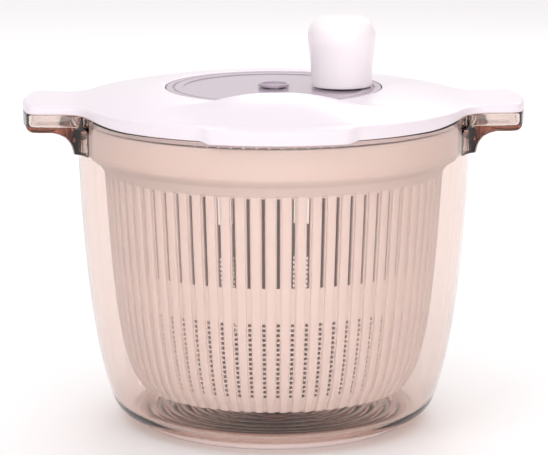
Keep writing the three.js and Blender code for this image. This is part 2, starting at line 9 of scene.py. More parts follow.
import bmesh
import bpy
import numpy as np
from mathutils import Matrix, Vector


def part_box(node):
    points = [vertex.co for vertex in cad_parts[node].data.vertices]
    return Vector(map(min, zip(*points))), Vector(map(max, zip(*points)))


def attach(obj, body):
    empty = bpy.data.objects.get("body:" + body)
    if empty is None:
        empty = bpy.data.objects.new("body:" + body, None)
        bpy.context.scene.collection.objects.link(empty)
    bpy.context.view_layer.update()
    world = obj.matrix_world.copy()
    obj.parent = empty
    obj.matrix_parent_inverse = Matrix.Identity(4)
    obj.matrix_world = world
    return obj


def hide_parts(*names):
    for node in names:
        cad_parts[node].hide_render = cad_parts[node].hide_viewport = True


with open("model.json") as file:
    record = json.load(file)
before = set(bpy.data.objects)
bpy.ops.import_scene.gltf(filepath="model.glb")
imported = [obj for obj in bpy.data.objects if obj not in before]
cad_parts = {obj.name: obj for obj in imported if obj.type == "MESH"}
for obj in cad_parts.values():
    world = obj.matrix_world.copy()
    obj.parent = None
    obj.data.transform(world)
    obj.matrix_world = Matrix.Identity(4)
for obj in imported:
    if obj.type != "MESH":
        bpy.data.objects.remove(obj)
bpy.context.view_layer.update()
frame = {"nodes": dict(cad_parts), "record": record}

MM = 0.001

# ---------------------------------------------------------------- sizes, in millimetres


def box_mm(node):
    low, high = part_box(node)
    return np.array(low) / MM, np.array(high) / MM


BOWL_LOW, BOWL_HIGH = box_mm("outer_bowl")
LID_LOW = box_mm("lid_shell")[0]
BASKET_HIGH = box_mm("basket")[1]
DISC_LOW, DISC_HIGH = box_mm("crank_disc")
KNOB_LOW, KNOB_HIGH = box_mm("knob")
FOOT_HIGH = box_mm("base_ring")[1]
CAP_LOW, CAP_HIGH = box_mm("centre_cap")
BUSH_LOW, BUSH_HIGH = box_mm("pivot_bush")

GAP = 0.3  # between pieces that touch
RUN_GAP = 0.5  # between pieces that turn on each other

# bowl
RIM_R = BOWL_HIGH[1]  # outside of the bowl at its rim
FOOT_Z = BOWL_LOW[2]  # underside of the bowl
BOWL_WALL = 2.5
FLOOR_Z = FOOT_Z + BOWL_WALL
FLOOR_INSET = 31  # flat of the floor inside the rim
SIDE_INSET = 18.4  # bottom of the side inside the rim
SIDE_RISE = 10.6  # bottom of the side above the underside
RIM_ROUND = 0.8  # rounding of the rim and of the ears' lower edges
RIPPLE_OUTER = RIM_R - 37
RIPPLE_INNER = 18
RIPPLE_PITCH = 7.5
RIPPLE_HALF = 0.42  # half of a ripple's height
POST_R = 6.0
POST_TOP = 27.0
POST_ROUND = 2
FOOT_WIDTH = 9
FOOT_ROUND = 1.6
BUSH_WALL = 2.4
BUSH_ROUND = 1.6

# ears
EAR_TOP = BOWL_HIGH[2]
EAR_RISE = 2.7  # ears stand this much above the rim
RIM_Z = EAR_TOP - EAR_RISE
EAR_END = BOWL_HIGH[0]
EAR_HALF = 30.0  # half of an ear's depth along Y
EAR_SWELL = 4.0  # outward bow of an ear's end
EAR_CORNER_BOW = 1.4  # part of the bow that lies in an ear's corners
EAR_FILLET = 14.0  # plan curve from the rim into an ear
EAR_CORNER = 8.0
EAR_BEND = 4.6  # rounding at the bottom of an ear's end
EAR_HOLLOW = 11.5  # hollow curve under an ear
EAR_UNDER = EAR_TOP - 10.0
EAR_WALL = 2.6
POCKET_ROUND = 2.0  # curve from a pocket's floor into its sides

# lid
LID_WALL = 2.2
LID_EDGE = RIM_Z + GAP + 6.9  # top of the lid's outer band
LIP = -LID_LOW[1] - RIM_R
LIP_HALF = 22.0  # degrees either side of the front
LIP_DROP = 1.1
DISC_R = DISC_HIGH[0]
DISC_TOP = DISC_HIGH[2]
WELL_R = DISC_R + RUN_GAP
WELL_FLOOR = RIM_Z - GAP
CROWN = DISC_TOP + 0.2  # highest part of the lid, round the well
DOME_POWER = 1.6
DOME_END = 0.92  # share of the top, from the well to the rim, that the dome covers
TOP_ROUND = 2.0
HOOD_RISE = 7.6
HOOD_HALF = 38.0
HOOD_FLATNESS = 0.45  # 1 bends the crest round the lid, 0 runs it straight along X
HOOD_CREST = 9  # crest beyond the wall of the well
HOOD_RISE_POWER = 0.8
HOOD_FALL_POWER = 1.9
HOOD_SIDE_POWER = 2.8

# basket
COLLAR_R = BASKET_HIGH[0]
COLLAR_TOP = BASKET_HIGH[2]
COLLAR_HEIGHT = 14
COLLAR_LOW = COLLAR_TOP - COLLAR_HEIGHT
BASKET_WALL = 2.5
COLLAR_INNER = COLLAR_R - BASKET_WALL
PAN_Z = FOOT_Z + 16.0  # underside of the basket's floor
RIB_TOP = COLLAR_LOW - 13.0
RIB_R = COLLAR_R - 13
RIBS = 72
RIB_WIDTH = 4.8
RIB_PROUD = 2.0
RIB_DEPTH = 3.8
RIB_WEB = 0.7  # recessed margin on each side of a rib, which narrows the slot
RIB_EDGE = 0.75  # bevelled edge of a rib
MIDDLE_TOP = PAN_Z + (RIB_TOP - PAN_Z) * 0.59  # closed band round the middle
MIDDLE_LOW = PAN_Z + (RIB_TOP - PAN_Z) * 0.43
SLOT_FOOT = 9  # lower slots end this much above the floor's underside
RUNG = 1.0  # bars across the lower slots
RUNGS = 16
LUGS = 4
KEY_ANGLE = 9.0  # degrees from a lug's middle to the keys on its two sides
KEY_HALF = 1.6  # half of a key's width, in degrees
KEY_DEPTH = 3.0

# ---------------------------------------------------------------- mesh helpers


def bezier(points, steps):
    """Points on a curve of two, three or four control points."""
    control = [np.array(p, float) for p in points]
    t = np.linspace(0, 1, steps + 1)[:, None]
    while len(control) > 1:
        control = [a * (1 - t) + b * t for a, b in zip(control, control[1:])]
    return [tuple(p) for p in control[0]]


def smoothstep(low, high, x):
    t = np.clip((np.asarray(x, float) - low) / (high - low), 0, 1)
    return t * t * (3 - 2 * t)


def lerp(a, b, t):
    return a * (1 - t) + b * t


def arc(centre_r, centre_z, radius, start, end, steps):
    """Points of an arc in the (radius, height) plane; angles in degrees from outward."""
    angles = np.radians(np.linspace(start, end, steps + 1))
    return [(centre_r + radius * np.cos(a), centre_z + radius * np.sin(a)) for a in angles]


def mesh_object(name, verts_mm, faces, material, sharp=32.0):
    """Welded mesh with outward faces, smooth but for edges sharper than an angle in degrees."""
    mesh = bpy.data.meshes.new(name)
    mesh.from_pydata([tuple(v) for v in np.asarray(verts_mm) * MM], [], [tuple(f) for f in faces])
    mesh.validate()
    build = bmesh.new()
    build.from_mesh(mesh)
    bmesh.ops.remove_doubles(build, verts=build.verts, dist=2e-7)
    bmesh.ops.dissolve_degenerate(build, edges=build.edges, dist=1e-7)
    bmesh.ops.recalc_face_normals(build, faces=build.faces)
    build.to_mesh(mesh)
    build.free()
    mesh.polygons.foreach_set("use_smooth", [True] * len(mesh.polygons))
    mesh.set_sharp_from_angle(angle=radians(sharp))
    obj = bpy.data.objects.new(name, mesh)
    bpy.context.scene.collection.objects.link(obj)
    obj.data.materials.append(material)
    shading = obj.modifiers.new("flat faces stay flat beside small bevels", "WEIGHTED_NORMAL")
    shading.keep_sharp = True
    return obj


def ring_points(theta, rings):
    """Points of every ring, and for each ring the point that each column uses."""
    verts = []
    index = []
    count = len(theta)
    for r, z in rings:
        r = np.broadcast_to(np.asarray(r, float), (count,))
        z = np.broadcast_to(np.asarray(z, float), (count,))
        first = len(verts)
        if np.all(r == 0):
            verts.append((0.0, 0.0, float(z[0])))
            index.append([first] * count)
            continue
        verts.extend(zip(r * np.cos(theta), r * np.sin(theta), z))
        index.append(list(range(first, first + count)))
    return verts, index


def stack(name, theta, rings, material, closed=True, sharp=32.0):
    """Skin over rings of (radius, height), each given over the column angles theta.

    A ring of radius 0 is a single point. A closed stack joins its last ring to its first.
    """
    verts, index = ring_points(theta, rings)
    pairs = list(zip(index, index[1:]))
    if closed:
        pairs.append((index[-1], index[0]))
    faces = []
    for low, high in pairs:
        if low[0] == low[-1] and high[0] == high[-1]:
            continue
        for j in range(len(theta)):
            k = (j + 1) % len(theta)
            corners = [low[j], low[k], high[k], high[j]]
            faces.append([v for n, v in enumerate(corners) if v != corners[n - 1]])
    return mesh_object(name, verts, faces, material, sharp)


def revolve(name, outline, material, steps=128, centre=(0.0, 0.0), closed=True, sharp=32.0):
    """Turned piece about a vertical axis at centre."""
    theta = np.linspace(0, 2 * np.pi, steps, endpoint=False)
    obj = stack(name, theta, outline, material, closed, sharp)
    obj.data.transform(Matrix.Translation((centre[0] * MM, centre[1] * MM, 0)))
    return obj


# ---------------------------------------------------------------- plan of the rim and its ears


def first_quadrant():
    """Plan outline from the end of an ear (on +X) round to +Y, as points in order."""
    shoulder = EAR_END - EAR_SWELL + EAR_CORNER_BOW
    side_x = EAR_END - EAR_SWELL - EAR_CORNER
    root_y = EAR_HALF + EAR_FILLET
    root_x = np.sqrt(RIM_R ** 2 - root_y ** 2)
    fillet_x = root_x + EAR_FILLET * 1.2
    bow = bezier([(EAR_END, 0), (EAR_END - 0.1, EAR_HALF * 0.42), (shoulder, EAR_HALF - EAR_CORNER)], 24)
    corner = bezier([
        (shoulder, EAR_HALF - EAR_CORNER), (EAR_END - EAR_SWELL, EAR_HALF), (side_x, EAR_HALF)], 40)
    side = bezier([(side_x, EAR_HALF), (fillet_x, EAR_HALF)], 20)
    fillet = bezier([(fillet_x, EAR_HALF), (root_x + EAR_FILLET * 0.43, EAR_HALF), (root_x, root_y)], 60)
    start = np.arctan2(root_y, root_x)
    around = [(RIM_R * np.cos(a), RIM_R * np.sin(a)) for a in np.linspace(start, np.pi / 2, 120)]
    return np.array(bow + corner[1:] + side[1:] + fillet[1:] + around[1:])


def column_angles():
    """Angles of the columns round the bowl and the lid, closest together beside the ears."""
    quarter = np.radians(np.concatenate([
        np.arange(0, 9, 1.5), np.arange(9, 26, 0.25), np.arange(26, 90, 1.6),
    ]))
    back = quarter[:0:-1]
    theta = np.concatenate([quarter, np.pi - back, np.pi + quarter, 2 * np.pi - back])
    return np.unique(np.round(np.concatenate([theta, [np.pi / 2, 3 * np.pi / 2]]), 9))


OUTLINE = first_quadrant()
THETA = column_angles()
FOLDED = np.arctan2(np.abs(np.sin(THETA)), np.abs(np.cos(THETA)))  # THETA folded into the first quadrant
FRONT = np.degrees(np.abs(np.angle(np.exp(1j * (THETA + np.pi / 2)))))  # degrees from the front


def inset_outline(distance):
    """Radius over THETA of the plan outline moved inwards."""
    ahead = np.gradient(OUTLINE, axis=0)
    ahead[0] = (0, 1)
    ahead[-1] = (-1, 0)
    normal = np.stack([ahead[:, 1], -ahead[:, 0]], 1) / np.linalg.norm(ahead, axis=1)[:, None]
    points = OUTLINE - normal * distance
    angle = np.arctan2(points[:, 1], points[:, 0])
    radius = np.hypot(points[:, 0], points[:, 1])
    order = np.argsort(angle)
    return np.interp(FOLDED, angle[order], radius[order])


INSET_STEP = 0.5
INSETS = np.arange(0, 6.01, INSET_STEP)
INSET_TABLE = np.array([inset_outline(d) for d in INSETS])


def reach(distance=0.0):
    """Radius over THETA of the plan outline, drawn in by a distance that may differ by column."""
    d = np.broadcast_to(np.asarray(distance, float), THETA.shape)
    low = np.clip((d / INSET_STEP).astype(int), 0, len(INSETS) - 2)
    share = d / INSET_STEP - low
    columns = np.arange(len(THETA))
    return lerp(INSET_TABLE[low, columns], INSET_TABLE[low + 1, columns], share)


RISE = EAR_RISE * (1 - smoothstep(radians(15), radians(44), FOLDED))  # rim climbs to the ears
RIM_TOP = RIM_Z + RISE


# ---------------------------------------------------------------- materials


def new_material(name, **values):
    material = bpy.data.materials.new(name)
    material.use_nodes = True
    shader = material.node_tree.nodes["Principled BSDF"]
    for key, value in values.items():
        shader.inputs[key.replace("_", " ")].default_value = value
    return material, shader


def add_noise(material, scale, detail):
    """Noise fixed to the piece; returns its value socket."""
    nodes = material.node_tree.nodes
    place = nodes.new("ShaderNodeTexCoord")
    noise = nodes.new("ShaderNodeTexNoise")
    noise.inputs["Scale"].default_value = scale
    noise.inputs["Detail"].default_value = detail
    material.node_tree.links.new(place.outputs["Object"], noise.inputs["Vector"])
    return noise.outputs["Fac"]


def add_relief(material, shader, height, strength, distance):
    relief = material.node_tree.nodes.new("ShaderNodeBump")
    relief.inputs["Strength"].default_value = strength
    relief.inputs["Distance"].default_value = distance
    material.node_tree.links.new(height, relief.inputs["Height"])
    material.node_tree.links.new(relief.outputs["Normal"], shader.inputs["Normal"])


def add_gloss(material, shader, value, rough):
    """Roughness that runs between two values."""
    gloss = material.node_tree.nodes.new("ShaderNodeMapRange")
    gloss.inputs["To Min"].default_value = rough[0]
    gloss.inputs["To Max"].default_value = rough[1]
    material.node_tree.links.new(value, gloss.inputs["Value"])
    material.node_tree.links.new(gloss.outputs["Result"], shader.inputs["Roughness"])


def add_drift(material, shader, value, colour, spread):
    """Colour that drifts a little to both sides of its own."""
    ramp = material.node_tree.nodes.new("ShaderNodeValToRGB")
    ramp.color_ramp.elements[0].color = [c * (1 - spread) for c in colour] + [1]
    ramp.color_ramp.elements[1].color = [min(1, c * (1 + spread)) for c in colour] + [1]
    material.node_tree.links.new(value, ramp.inputs["Fac"])
    material.node_tree.links.new(ramp.outputs["Color"], shader.inputs["Base Color"])


GRAIN_DETAIL = 3
GRAIN_DEPTH = 0.0002  # metres
BROAD_SCALE = 55
BROAD_DETAIL = 1


def add_grain(material, shader, scale, bump, rough, colour, spread=0.01):
    """Moulded surface: fine bump, uneven gloss and a slight drift of colour."""
    fine = add_noise(material, scale, GRAIN_DETAIL)
    add_relief(material, shader, fine, bump, GRAIN_DEPTH)
    broad = add_noise(material, BROAD_SCALE, BROAD_DETAIL)
    add_gloss(material, shader, broad, rough)
    add_drift(material, shader, fine, colour, spread)


def make_plastic(name, colour, rough, grain, bump, soft=0.0, depth=0.004):
    """Opaque plastic; soft is the share of light that spreads under its surface to a depth in metres."""
    material, shader = new_material(name, IOR=1.49)
    shader.inputs["Base Color"].default_value = (*colour, 1)
    if soft:
        shader.inputs["Subsurface Weight"].default_value = soft
        shader.inputs["Subsurface Radius"].default_value = (1.0, 0.8, 0.7)
        shader.inputs["Subsurface Scale"].default_value = depth
    add_grain(material, shader, grain, bump, rough, colour)
    return material


WAVE_SCALE = 26
WAVE_DETAIL = 2
WAVE_DEPTH = 0.0006  # metres


def make_clear(name, tint, rough, waviness, body, density):
    """Clear moulded plastic that bends light for the eye and lets lamps straight through."""
    material, shader = new_material(name, IOR=1.49)
    shader.inputs["Base Color"].default_value = (*tint, 1)
    shader.inputs["Transmission Weight"].default_value = 1.0
    flow = add_noise(material, WAVE_SCALE, WAVE_DETAIL)
    add_relief(material, shader, flow, waviness, WAVE_DEPTH)
    add_gloss(material, shader, flow, rough)
    nodes = material.node_tree.nodes
    links = material.node_tree.links
    output = nodes["Material Output"]
    through = nodes.new("ShaderNodeBsdfTransparent")
    through.inputs["Color"].default_value = (*tint, 1)
    depth = nodes.new("ShaderNodeVolumeAbsorption")
    depth.inputs["Color"].default_value = (*body, 1)
    depth.inputs["Density"].default_value = density
    links.new(depth.outputs["Volume"], output.inputs["Volume"])
    path = nodes.new("ShaderNodeLightPath")
    mix = nodes.new("ShaderNodeMixShader")
    links.new(path.outputs["Is Shadow Ray"], mix.inputs["Fac"])
    links.new(shader.outputs["BSDF"], mix.inputs[1])
    links.new(through.outputs["BSDF"], mix.inputs[2])
    links.new(mix.outputs["Shader"], output.inputs["Surface"])
    return material


def make_steel(name, colour):
    material, shader = new_material(name, Metallic=1.0)
    shader.inputs["Base Color"].default_value = (*colour, 1)
    add_grain(material, shader, 1600, 0.2, (0.22, 0.42), colour, 0.05)
    return material


CLEAR = make_clear(
    "clear_bowl", tint=(0.96, 0.928, 0.915), rough=(0.0, 0.03), waviness=0.08,
    body=(0.71, 0.44, 0.30), density=75)
LID_WHITE = make_plastic(
    "lid_white", (0.79, 0.735, 0.785), rough=(0.27, 0.29), grain=700, bump=0.05, soft=0.15)
KNOB_WHITE = make_plastic(
    "knob_white", (0.92, 0.875, 0.905), rough=(0.14, 0.22), grain=600, bump=0.05, soft=0.15)
BASKET_WHITE = make_plastic(
    "basket_white", (0.93, 0.865, 0.845), rough=(0.34, 0.48), grain=1100, bump=0.12, soft=0.35, depth=0.003)
SMOKY = make_plastic("smoky_disc", (0.43, 0.355, 0.42), rough=(0.1, 0.18), grain=500, bump=0.04)
BASE_GRIP = make_plastic("base_grip", (0.78, 0.69, 0.69), rough=(0.4, 0.6), grain=1300, bump=0.25, soft=0.3)
ACETAL = make_plastic("acetal", (0.86, 0.84, 0.78), rough=(0.28, 0.42), grain=900, bump=0.1, soft=0.1)
STEEL = make_steel("steel", (0.62, 0.62, 0.64))

# ---------------------------------------------------------------- bowl


def bowl_side(inset, steps):
    """Curve of the side from its bottom up to the rim, drawn in by a wall."""
    r = RIM_R - inset
    return bezier([
        (r - SIDE_INSET, FOOT_Z + SIDE_RISE), (r - 7.9, RIM_Z * 0.256),
        (r - 2.1, RIM_Z * 0.555), (r, RIM_Z)], steps)


def bowl_corner(inset, floor, steps):
    """Curve from the flat of a floor out to the bottom of the side."""
    side = bowl_side(inset, 1)[0]
    return bezier([(RIM_R - FLOOR_INSET - inset, floor), (side[0] - 2.6, floor + 1.2), side], steps)


def ear_underside(r):
    """Height of the ears' underside over THETA at a radius: a hollow curve, level, then the end's bend."""
    x = r * np.abs(np.cos(THETA))
    y = r * np.abs(np.sin(THETA))
    hollow = np.clip((x - (RIM_R - 0.6)) / EAR_HOLLOW, 0, 1)
    end = EAR_END - (EAR_SWELL - EAR_CORNER_BOW) * np.clip(y / (EAR_HALF - EAR_CORNER), 0, 1) ** 2
    bend = np.clip((x - (end - EAR_BEND)) / EAR_BEND, 0, 1)
    rise = EAR_BEND * (1 - np.sqrt(1 - bend ** 2))
    return EAR_UNDER - EAR_HOLLOW + EAR_HOLLOW * np.sqrt(1 - (1 - hollow) ** 2) + rise


def bowl_outside():
    """Underside, corner and side, up to where the ears begin."""
    hollow_low = EAR_UNDER - EAR_HOLLOW
    side = [p for p in bowl_side(0, 44) if p[1] < hollow_low - 2]
    rings = [(0, FOOT_Z), (20, FOOT_Z), (50, FOOT_Z), (RIM_R - FLOOR_INSET - 4, FOOT_Z)]
    return rings + bowl_corner(0, FOOT_Z, 10) + side[1:]


def ear_outside():
    """Under the ears, round their edge and up to the rim; straight up where there are no ears."""
    rings = []
    wall_r = RIM_R - 0.55
    drop = 0.2  # edge of an ear below the line of its underside
    edge = RIM_ROUND * smoothstep(0.0, 2.0, reach() - RIM_R) + 0.02
    end_r = reach(edge)
    shares = (0, 0.02, 0.05, 0.09, 0.14, 0.2, 0.27, 0.35, 0.45, 0.56, 0.67, 0.77, 0.83,
              0.87, 0.9, 0.925, 0.95, 0.97, 0.985, 1)
    for share in shares:
        r = lerp(np.full_like(THETA, wall_r), end_r, share)
        rings.append((r, ear_underside(r) + drop * share))
    edge_z = ear_underside(end_r) + drop
    for angle in np.radians([25, 50, 75]):
        rings.append((reach(edge * (1 - np.sin(angle))), edge_z + edge * (1 - np.cos(angle))))
    for share in (0.0, 0.33, 0.66, 1.0):
        rings.append((reach(), lerp(edge_z + edge, RIM_TOP - RIM_ROUND, share)))
    for angle in np.radians([30, 60, 90]):
        rings.append((reach(RIM_ROUND * (1 - np.cos(angle))), RIM_TOP - RIM_ROUND * (1 - np.sin(angle))))
    return rings


def ear_pockets():
    """Pocket in each ear, open at its top; away from the ears, a flat rim instead."""
    pocket = smoothstep(0.4, 1.6, reach(EAR_WALL) - RIM_R)
    floor = EAR_UNDER + EAR_WALL
    shape = [
        (reach(EAR_WALL - 0.3), RIM_TOP),
        (reach(EAR_WALL), RIM_TOP - 0.3),
        (reach(EAR_WALL), floor + POCKET_ROUND),
        (reach(EAR_WALL + 0.5), floor + 0.6),
        (reach(EAR_WALL + POCKET_ROUND), floor),
        (RIM_R + 2.2, floor),
        (RIM_R + 0.9, floor + 0.5),
        (RIM_R + 0.3, floor + POCKET_ROUND),
        (RIM_R + 0.1, RIM_TOP - 0.4),
        (RIM_R - 0.3, RIM_TOP),
    ]
    rim_insets = (1.0, 1.1, 1.2, 1.3, 1.4, 1.5, 1.6, 1.7, 1.8, 1.9)
    rings = []
    for (r, z), inset in zip(shape, rim_insets):
        r = np.broadcast_to(np.asarray(r, float), THETA.shape)
        rings.append((lerp(RIM_R - inset, np.maximum(r, RIM_R - inset), pocket), lerp(RIM_TOP, z, pocket)))
    return rings


def bowl_inside():
    """Inside wall, floor with shallow ripples, and the centre post."""
    inner_r = RIM_R - BOWL_WALL
    rings = [(inner_r + 0.35, RIM_TOP), (inner_r + 0.08, RIM_TOP - 0.35)]
    inside = bowl_side(BOWL_WALL, 34)[::-1]
    rings += [(r, z) for r, z in inside if z < RIM_Z - 1.5]
    rings += bowl_corner(BOWL_WALL, FLOOR_Z, 10)[::-1][1:]
    for r in np.arange(RIPPLE_OUTER, RIPPLE_INNER, -1.5):
        ripple = RIPPLE_HALF * (1 - np.cos(2 * np.pi * (RIPPLE_OUTER - r) / RIPPLE_PITCH))
        rings.append((r, FLOOR_Z + ripple))
    rings += [(16, FLOOR_Z + 0.2), (12, FLOOR_Z + 1.4), (9, FLOOR_Z + 4.5), (POST_R + 0.6, FLOOR_Z + 7)]
    rings += [(POST_R, FLOOR_Z + 8), (POST_R, POST_TOP - POST_ROUND)]
    return rings + arc(POST_R - POST_ROUND, POST_TOP - POST_ROUND, POST_ROUND, 15, 90, 5) + [(0, POST_TOP)]


def make_outer_bowl():
    rings = bowl_outside() + ear_outside() + ear_pockets() + bowl_inside()
    bowl = stack("bowl_shell", THETA, rings, CLEAR, closed=False, sharp=50)
    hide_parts("outer_bowl")
    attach(bowl, "bowl")


def make_base_ring():
    outer = FOOT_HIGH[0]
    inner = outer - FOOT_WIDTH
    top = FOOT_HIGH[2]
    outline = [(inner + 0.6, 0)] + arc(outer - FOOT_ROUND, FOOT_ROUND, FOOT_ROUND, -90, 0, 6)
    outline += [(outer, top - 0.4), (outer - 0.4, top), (inner + 0.3, top), (inner, top - 0.3), (inner, 0.6)]
    obj = revolve("base_foot", outline, BASE_GRIP, 192)
    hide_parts("base_ring")
    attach(obj, "bowl")


def make_bush():
    bore = POST_R + RUN_GAP
    low, high, outer = BUSH_LOW[2], BUSH_HIGH[2], BUSH_HIGH[0]
    outline = [(bore, low + 0.4), (bore + 0.4, low), (outer - 0.4, low), (outer, low + 0.4)]
    outline += arc(outer - BUSH_ROUND, high - BUSH_ROUND, BUSH_ROUND, 0, 90, 6)
    outline += [(0, high), (0, high - BUSH_WALL), (bore, high - BUSH_WALL)]
    obj = revolve("pivot_cap", outline, ACETAL, 64)
    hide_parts("pivot_bush")
    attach(obj, "pivot")


# ---------------------------------------------------------------- basket

CLOSED, EVERY_GAP, OTHER_GAPS = 0, 1, 2  # which gaps between ribs are cut through below a row


def rib_curve():
    """Outer curve of the ribs, from the floor's edge up to the shoulder."""
    floor_r = COLLAR_R - 31
    top_r = COLLAR_R - 10.7
    return np.array(bezier([
        (floor_r + 1.6, PAN_Z + 2.6), (floor_r + 14.4, PAN_Z + 15.3),
        (top_r - 3.5, PAN_Z + 71.6), (top_r, RIB_TOP + 3.4)], 400))


RIB_CURVE = rib_curve()


def rib_radius(z):
    return float(np.interp(z, RIB_CURVE[:, 1], RIB_CURVE[:, 0]))


def rib_section():
    """Angles across one rib and how far each stands up: 0 on the margins, 1 on top."""
    half = RIB_WIDTH / 2 / RIB_R
    soft = RIB_EDGE / RIB_R
    web = RIB_WEB / RIB_R
    step = 0.0001  # a rib's side is all but square to its margin
    shoulder = 0.74
    return [(-half - web, 0.0), (-half, 0.0), (-half + step, shoulder), (-half + soft, 1.0),
            (half - soft, 1.0), (half - step, shoulder), (half, 0.0), (half + web, 0.0)]


SECTION = rib_section()


def basket_columns():
    """Angles round the basket and, for each, how far it stands up on its rib."""
    pitch = 2 * np.pi / RIBS
    theta = [(rib + 0.5) * pitch + offset for rib in range(RIBS) for offset, _ in SECTION]
    return np.array(theta), np.array([share for _ in range(RIBS) for _, share in SECTION])


# A row of the basket is (outer r, outer z, inner r, inner z, share of a rib's height, gaps cut below it).


def plain_row(outer_r, outer_z, inner_r, inner_z, rib=0.0, gaps=CLOSED):
    return outer_r, outer_z, inner_r, inner_z, rib, gaps


def wall_row(z, gaps=CLOSED):
    r = rib_radius(z)
    return r - RIB_PROUD, z, r - RIB_DEPTH, z, 1.0, gaps


def collar_rows():
    rows = [
        plain_row(COLLAR_R - 1.2, COLLAR_TOP, COLLAR_INNER + 0.4, COLLAR_TOP),
        plain_row(COLLAR_R - 0.5, COLLAR_TOP - 0.25, COLLAR_INNER + 0.1, COLLAR_TOP - 0.3),
        plain_row(COLLAR_R - 0.1, COLLAR_TOP - 0.9, COLLAR_INNER, COLLAR_TOP - 0.9),
    ]
    draft = 0.4  # collar narrows by this much down to its lower edge
    for share in np.linspace(0.15, 0.95, 5):
        z = COLLAR_TOP - COLLAR_HEIGHT * share
        rows.append(plain_row(COLLAR_R - draft * share, z, COLLAR_INNER - draft * share, z))
    return rows


def shoulder_rows():
    """Curve under the collar, a small step, and the slope down to the ribs."""
    profile = [  # outer inset and drop, inner inset and drop, from the collar's lower edge
        (0.5, 1.6, 0.7, 0.6),
        (1.0, 3.0, 1.6, 1.8),
        (2.6, 4.6, 3.4, 3.2),
        (4.6, 6.0, 5.2, 4.4),
        (6.2, 7.0, 6.8, 5.6),
        (6.9, 7.3, 7.4, 6.3),
        (7.3, 8.0, 7.9, 7.2),
        (8.6, 9.6, 8.6, 9.0),
        (9.7, 11.4, 9.4, 11.2),
    ]
    rows = [
        plain_row(COLLAR_R - outer, COLLAR_LOW - outer_drop, COLLAR_INNER - inner, COLLAR_LOW - inner_drop)
        for outer, outer_drop, inner, inner_drop in profile
    ]
    top = rib_radius(RIB_TOP)
    return rows + [plain_row(top - 0.1, RIB_TOP, top - RIB_DEPTH, RIB_TOP)]


def wall_rows():
    """Upper slots, the closed band round the middle, then lower slots crossed by rungs."""
    rows = [wall_row(RIB_TOP - 0.6)]
    rows += [wall_row(z, EVERY_GAP) for z in np.linspace(RIB_TOP - 1.4, MIDDLE_TOP, 7)[:-1]]
    rows += [wall_row(z) for z in np.linspace(MIDDLE_TOP, MIDDLE_LOW, 4)[:-1]]
    pitch = (MIDDLE_LOW - PAN_Z - SLOT_FOOT) / RUNGS
    for rung in range(RUNGS):
        z = MIDDLE_LOW - pitch * rung
        rows += [wall_row(z, EVERY_GAP), wall_row(z - pitch + RUNG)]
    return rows + [wall_row(z) for z in np.linspace(PAN_Z + SLOT_FOOT, PAN_Z + 3.2, 5)]


def floor_rows():
    """Rounded ends of the ribs, then the floor with two rings of radial slots."""
    edge = rib_radius(PAN_Z + 3)
    inside = PAN_Z + BASKET_WALL
    rows = [
        plain_row(edge - 2.6, PAN_Z + 1.3, edge - RIB_DEPTH - 1.6, PAN_Z + 3.4, 1.0),
        plain_row(edge - 3.5, PAN_Z + 0.7, edge - 6.3, PAN_Z + 3.0, 0.9),
        plain_row(edge - 4.6, PAN_Z + 0.3, edge - 7.2, PAN_Z + 2.6, 0.1),
        plain_row(edge - 7.5, PAN_Z, edge - 9.5, inside),
    ]
    slots = [(10.5, EVERY_GAP), (17.5, EVERY_GAP), (24.5, CLOSED),
             (28.5, OTHER_GAPS), (36.5, OTHER_GAPS), (44.5, CLOSED)]
    for inset, gaps in slots:
        rows.append(plain_row(edge - inset, PAN_Z, edge - inset, inside, 0.0, gaps))
    return rows


def hub_rows():
    """Cup in the middle of the floor that sits over the pivot bush."""
    bore = BUSH_HIGH[0] + GAP
    roof = BUSH_HIGH[2] + GAP
    inside = PAN_Z + BASKET_WALL
    return [
        plain_row(bore + 5, PAN_Z, bore + 6, inside),
        plain_row(bore + 3.2, PAN_Z - 0.4, bore + 4.2, inside + 1.0),
        plain_row(bore + 2.4, PAN_Z - 1.2, bore + 3.2, inside + 3.5),
        plain_row(bore + 1.6, PAN_Z - 1.5, bore + 2.6, inside + 6.0),
        plain_row(bore + 0.3, PAN_Z - 1.5, bore + 1.6, roof + BASKET_WALL - 1.0),
        plain_row(bore, PAN_Z - 1.0, bore + 0.6, roof + BASKET_WALL - 0.2),
        plain_row(bore, roof, bore - 1.6, roof + BASKET_WALL),
    ]


def lug_keys(theta):
    """1 in the columns of the keys, two for each lug of the drive plate, and 0 elsewhere."""
    keys = np.zeros(len(theta))
    for lug in range(LUGS):
        for side in (-KEY_ANGLE, KEY_ANGLE):
            middle = radians(45 + 90 * lug + side)
            away = np.degrees(np.abs(np.angle(np.exp(1j * (theta - middle)))))
            keys = np.maximum(keys, (away < KEY_HALF).astype(float))
    return keys


def basket_points(rows):
    """Points of the basket, and where each row's outer and inner rings begin."""
    theta, on_rib = basket_columns()
    keys = lug_keys(theta)
    verts = []

    def ring(r, z):
        first = len(verts)
        r = np.broadcast_to(np.asarray(r, float), theta.shape)
        verts.extend(zip(r * np.cos(theta), r * np.sin(theta), np.full(len(theta), float(z))))
        return first

    outer = []
    inner = []
    for outer_r, outer_z, inner_r, inner_z, rib, _ in rows:
        outer.append(ring(outer_r + RIB_PROUD * rib * on_rib, outer_z))
        keyed = COLLAR_LOW + 1 < inner_z < COLLAR_TOP - 2
        inner.append(ring(inner_r - (KEY_DEPTH * keys if keyed else 0), inner_z))
    return verts, outer, inner


def panel_faces(a, b, c, d, j, k):
    """Outer and inner face between columns j and k; a, b start the outer rings and c, d the inner."""
    return [(a + j, a + k, b + k, b + j), (c + j, d + j, d + k, c + k)]


